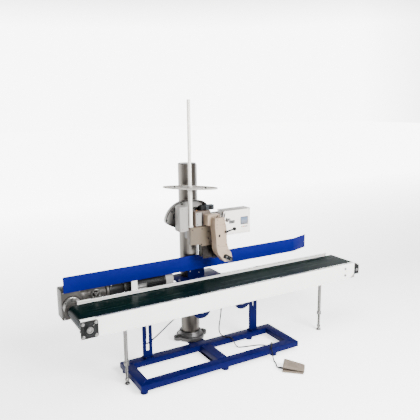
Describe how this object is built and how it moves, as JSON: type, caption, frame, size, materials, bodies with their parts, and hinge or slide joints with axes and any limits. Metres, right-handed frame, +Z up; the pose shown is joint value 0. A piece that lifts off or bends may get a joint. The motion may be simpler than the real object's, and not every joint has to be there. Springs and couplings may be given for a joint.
{
  "type": "bag closing sewing machine",
  "caption": "Pedestal bag closing sewing head on a column with a thread tray, behind a belt conveyor with a side guide on a box section base frame, with a foot switch.",
  "frame": {"origin": "on the column's axis at the floor, on the underside of the plate under the column's foot", "axes": "+X along the conveyor towards its tail end, +Y away from the operator, +Z up"},
  "size_m": [2.021, 0.934, 1.555],
  "materials": {
    "blue_paint": "glossy royal blue enamel, light orange peel",
    "navy_paint": "dark blue enamel on plates and brackets",
    "white_paint": "white powder coat, smooth",
    "beige_enamel": "warm beige enamel over cast metal",
    "stainless": "polished stainless tube",
    "cast_aluminium": "cast and machined grey metal",
    "zinc": "zinc plated and ground steel",
    "black_iron": "black painted iron",
    "dark_steel": "oiled dark steel",
    "green_belt": "glossy dark green belt",
    "rubber": "black rubber",
    "light_grey": "light grey paint",
    "pedal_beige": "grey beige moulded case",
    "clear_tray": "pale painted sheet"
  },
  "bodies": {
    "base": {"base_frame": "blue_paint", "sole_plate": "navy_paint", "column_foot": "cast_aluminium", "column_tube": "stainless", "column_rack": "zinc", "post_left": "blue_paint", "post_right": "blue_paint", "beam_front": "white_paint", "beam_rear": "white_paint", "slider_bed": "zinc", "conveyor_belt": "green_belt", "drive_bearing": "black_iron", "takeup_front": "zinc", "takeup_rear": "zinc", "gearbox": "cast_aluminium", "variator": "cast_aluminium", "conveyor_motor": "black_iron", "return_hanger_1": "blue_paint", "return_hanger_2": "blue_paint", "guide_panel": "blue_paint", "guide_post": "white_paint", "guide_bracket": "navy_paint", "tie_plate": "navy_paint", "leg_tube_left": "zinc", "leg_tube_right": "zinc", "junction_box": "light_grey", "pedal_base": "pedal_beige", "pedal_cable": "rubber", "power_cable": "rubber"},
    "head": {"carriage": "cast_aluminium", "bed_casing": "beige_enamel", "bed_cover": "beige_enamel", "throat_plate": "zinc", "rear_housing": "beige_enamel", "arm_casting": "beige_enamel", "sewing_motor": "light_grey", "drive_belt": "rubber", "belt_guard": "light_grey", "control_box": "white_paint", "thread_rod": "white_paint", "thread_tray": "clear_tray", "switch_box": "dark_steel"},
    "drive_roller": {"drive_roller": "dark_steel"},
    "tail_roller": {"tail_roller": "dark_steel"},
    "return_roller_1": {"return_roller_1": "dark_steel"},
    "return_roller_2": {"return_roller_2": "dark_steel"},
    "speed_wheel": {"speed_wheel": "zinc"},
    "leg_screw_left": {"leg_screw_left": "zinc"},
    "leg_screw_right": {"leg_screw_right": "zinc"},
    "pedal_treadle": {"pedal_treadle": "pedal_beige"},
    "lift_pinion": {"lift_pinion": "dark_steel"},
    "needle_bar": {"needle_bar": "dark_steel"},
    "looper": {"looper": "dark_steel"},
    "feed_dog": {"feed_dog": "dark_steel"},
    "presser_foot": {"presser_foot": "black_iron"},
    "presser_lever": {"presser_lever": "black_iron"},
    "tension_knob": {"tension_knob": "dark_steel"},
    "motor_pulley": {"motor_pulley": "dark_steel"},
    "head_pulley": {"head_pulley": "cast_aluminium"},
    "switch_button": {"switch_button": "black_iron"}
  },
  "joints": [
    {"name": "head_height", "type": "slide", "parent": "base", "child": "head", "axis": [0, 0, 1], "range_m": [-0.08, 0.2]},
    {"name": "lift_crank", "type": "hinge", "parent": "head", "child": "lift_pinion", "pos_m": [0.0855, 0, 0.86], "axis": [0, 1, 0], "range_deg": [-660, 265]},
    {"name": "head_drive", "type": "hinge", "parent": "head", "child": "head_pulley", "pos_m": [0.02, -0.0965, 0.85], "axis": [0, 1, 0], "continuous": true},
    {"name": "motor_spin", "type": "hinge", "parent": "head", "child": "motor_pulley", "pos_m": [-0.12, -0.0965, 0.852], "axis": [0, 1, 0], "continuous": true},
    {"name": "needle_stroke", "type": "slide", "parent": "head", "child": "needle_bar", "axis": [0, 1, 0], "range_m": [0, 0.022]},
    {"name": "looper_swing", "type": "hinge", "parent": "head", "child": "looper", "pos_m": [0.045, -0.147, 0.66], "axis": [0, 0, 1], "range_deg": [0, 6.2]},
    {"name": "feed_stroke", "type": "slide", "parent": "head", "child": "feed_dog", "axis": [1, 0, 0], "range_m": [0, 0.0041]},
    {"name": "presser_lift", "type": "hinge", "parent": "head", "child": "presser_lever", "pos_m": [0.119, -0.2727, 0.764], "axis": [0, -1, 0], "range_deg": [0, 35]},
    {"name": "presser_stroke", "type": "slide", "parent": "head", "child": "presser_foot", "axis": [0, -1, 0], "range_m": [0, 0.0121]},
    {"name": "thread_tension", "type": "hinge", "parent": "head", "child": "tension_knob", "pos_m": [0.14, -0.257, 0.832], "axis": [1, 0, 0], "range_deg": [-540, 540]},
    {"name": "switch_press", "type": "slide", "parent": "head", "child": "switch_button", "axis": [0, 1, 0], "range_m": [0, 0.003], "stiffness_N_per_m": 400, "springref_m": -0.002},
    {"name": "belt_drive", "type": "hinge", "parent": "base", "child": "drive_roller", "pos_m": [-0.7845, -0.218, 0.3775], "axis": [0, 1, 0], "continuous": true},
    {"name": "belt_tail", "type": "hinge", "parent": "base", "child": "tail_roller", "pos_m": [1.135, -0.218, 0.3775], "axis": [0, 1, 0], "continuous": true},
    {"name": "return_spin_1", "type": "hinge", "parent": "base", "child": "return_roller_1", "pos_m": [-0.095, -0.218, 0.3165], "axis": [0, 1, 0], "continuous": true},
    {"name": "return_spin_2", "type": "hinge", "parent": "base", "child": "return_roller_2", "pos_m": [0.19, -0.218, 0.3165], "axis": [0, 1, 0], "continuous": true},
    {"name": "speed_set", "type": "hinge", "parent": "base", "child": "speed_wheel", "pos_m": [-0.645, -0.062, 0.452], "axis": [0, 1, 0], "range_deg": [-540, 540]},
    {"name": "leg_height_left", "type": "slide", "parent": "base", "child": "leg_screw_left", "axis": [0, 0, 1], "range_m": [0, 0.04]},
    {"name": "leg_height_right", "type": "slide", "parent": "base", "child": "leg_screw_right", "axis": [0, 0, 1], "range_m": [0, 0.04]},
    {"name": "pedal_press", "type": "hinge", "parent": "base", "child": "pedal_treadle", "pos_m": [0.3463, -0.7527, 0.017], "axis": [-0.682, -0.7314, 0], "range_deg": [0, 7], "stiffness_Nm_per_rad": 6, "springref_deg": -5.73}
  ],
  "couplings": [
    {"joint": "lift_crank", "follows": "head_height", "rad_per_m": -57.143},
    {"joint": "looper_swing", "follows": "needle_stroke", "rad_per_m": 4.76},
    {"joint": "feed_stroke", "follows": "needle_stroke", "ratio": 0.18},
    {"joint": "presser_stroke", "follows": "presser_lift", "m_per_rad": 0.01964},
    {"joint": "motor_spin", "follows": "head_drive", "ratio": 1.8651},
    {"joint": "belt_tail", "follows": "belt_drive", "ratio": 1},
    {"joint": "return_spin_1", "follows": "belt_drive", "ratio": -2.0051},
    {"joint": "return_spin_2", "follows": "belt_drive", "ratio": -2.0051}
  ]
}
